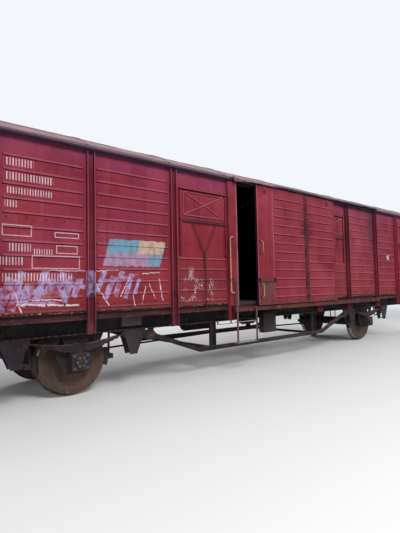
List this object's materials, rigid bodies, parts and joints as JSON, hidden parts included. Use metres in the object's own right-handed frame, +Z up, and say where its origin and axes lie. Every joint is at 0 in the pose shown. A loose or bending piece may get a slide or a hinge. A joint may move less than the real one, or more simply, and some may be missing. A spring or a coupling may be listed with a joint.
{
  "type": "covered railway wagon",
  "caption": "Two-axle covered goods wagon with ribbed steel walls, sliding side doors, shuttered vents, trussed underframe, leaf springs and side buffers.",
  "frame": {"origin": "under the middle of the wagon, level with the lowest points of the wheel flanges", "axes": "+X along the wagon towards the end that the open near door slides to, -Y towards the near side, +Z up"},
  "size_m": [14.02, 3.044, 3.9916],
  "materials": {
    "wall_paint": "faded matt paint",
    "door_paint": "faded matt paint",
    "roof_paint": "weathered",
    "frame_paint": "dusty black",
    "worn_steel": "worn paint",
    "wheel_steel": "rusty",
    "floor_boards": "worn boards"
  },
  "bodies": {
    "wagon": {"air_reservoir": "frame_paint", "axle_guards": "frame_paint", "axleboxes": "frame_paint", "bottom_tracks": "wall_paint", "brake_beams": "frame_paint", "brake_blocks": "frame_paint", "brake_cylinder": "frame_paint", "brake_pipe": "frame_paint", "brake_rods": "frame_paint", "buffer_heads": "worn_steel", "buffer_housings": "frame_paint", "cantrails": "wall_paint", "centre_sills": "frame_paint", "corner_posts": "wall_paint", "corner_steps": "worn_steel", "cross_bearers": "frame_paint", "door_hoods": "wall_paint", "door_ladders": "worn_steel", "door_portals": "wall_paint", "door_rails": "wall_paint", "draw_hooks": "worn_steel", "end_posts": "wall_paint", "end_walls": "wall_paint", "equipment_boxes": "frame_paint", "floor": "floor_boards", "grab_rails": "worn_steel", "guide_lips": "wall_paint", "hatch_grilles": "frame_paint", "hatch_guides": "wall_paint", "hatch_panels": "wall_paint", "headstocks": "frame_paint", "leaf_springs": "frame_paint", "outriggers": "frame_paint", "queen_posts": "frame_paint", "roof": "roof_paint", "roof_bows": "roof_paint", "roof_edges": "roof_paint", "screw_couplings": "worn_steel", "shackles": "frame_paint", "side_panels": "wall_paint", "side_posts": "wall_paint", "side_sills": "wall_paint", "solebars": "frame_paint", "spring_brackets": "frame_paint", "track_brackets": "wall_paint", "truss_bars": "frame_paint"},
    "wheelset_a": {"wheelset_a": "wheel_steel"},
    "wheelset_b": {"wheelset_b": "wheel_steel"},
    "near_door": {"near_door": "door_paint", "near_door_fittings": "worn_steel"},
    "far_door": {"far_door": "door_paint", "far_door_fittings": "worn_steel"},
    "far_shutter_1": {"far_shutter_1": "wall_paint"},
    "far_shutter_2": {"far_shutter_2": "wall_paint"},
    "far_shutter_3": {"far_shutter_3": "wall_paint"},
    "far_shutter_4": {"far_shutter_4": "wall_paint"},
    "near_shutter_1": {"near_shutter_1": "wall_paint"},
    "near_shutter_2": {"near_shutter_2": "wall_paint"},
    "near_shutter_3": {"near_shutter_3": "wall_paint"},
    "near_shutter_4": {"near_shutter_4": "wall_paint"}
  },
  "joints": [
    {"name": "wheelset_a_spin", "type": "hinge", "parent": "wagon", "child": "wheelset_a", "pos_m": [-4.1, 0, 0.528], "axis": [0, 1, 0], "continuous": true},
    {"name": "wheelset_b_spin", "type": "hinge", "parent": "wagon", "child": "wheelset_b", "pos_m": [4.1, 0, 0.528], "axis": [0, 1, 0], "continuous": true},
    {"name": "near_door_slide", "type": "slide", "parent": "wagon", "child": "near_door", "axis": [1, 0, 0], "range_m": [-0.6, 1.99]},
    {"name": "far_door_slide", "type": "slide", "parent": "wagon", "child": "far_door", "axis": [-1, 0, 0], "range_m": [0, 2.59]},
    {"name": "far_shutter_1_slide", "type": "slide", "parent": "wagon", "child": "far_shutter_1", "axis": [0, 0, -1], "range_m": [0, 0.55]},
    {"name": "far_shutter_2_slide", "type": "slide", "parent": "wagon", "child": "far_shutter_2", "axis": [0, 0, -1], "range_m": [0, 0.55]},
    {"name": "far_shutter_3_slide", "type": "slide", "parent": "wagon", "child": "far_shutter_3", "axis": [0, 0, -1], "range_m": [0, 0.55]},
    {"name": "far_shutter_4_slide", "type": "slide", "parent": "wagon", "child": "far_shutter_4", "axis": [0, 0, -1], "range_m": [0, 0.55]},
    {"name": "near_shutter_1_slide", "type": "slide", "parent": "wagon", "child": "near_shutter_1", "axis": [0, 0, -1], "range_m": [0, 0.55]},
    {"name": "near_shutter_2_slide", "type": "slide", "parent": "wagon", "child": "near_shutter_2", "axis": [0, 0, -1], "range_m": [0, 0.55]},
    {"name": "near_shutter_3_slide", "type": "slide", "parent": "wagon", "child": "near_shutter_3", "axis": [0, 0, -1], "range_m": [0, 0.55]},
    {"name": "near_shutter_4_slide", "type": "slide", "parent": "wagon", "child": "near_shutter_4", "axis": [0, 0, -1], "range_m": [0, 0.55]}
  ]
}
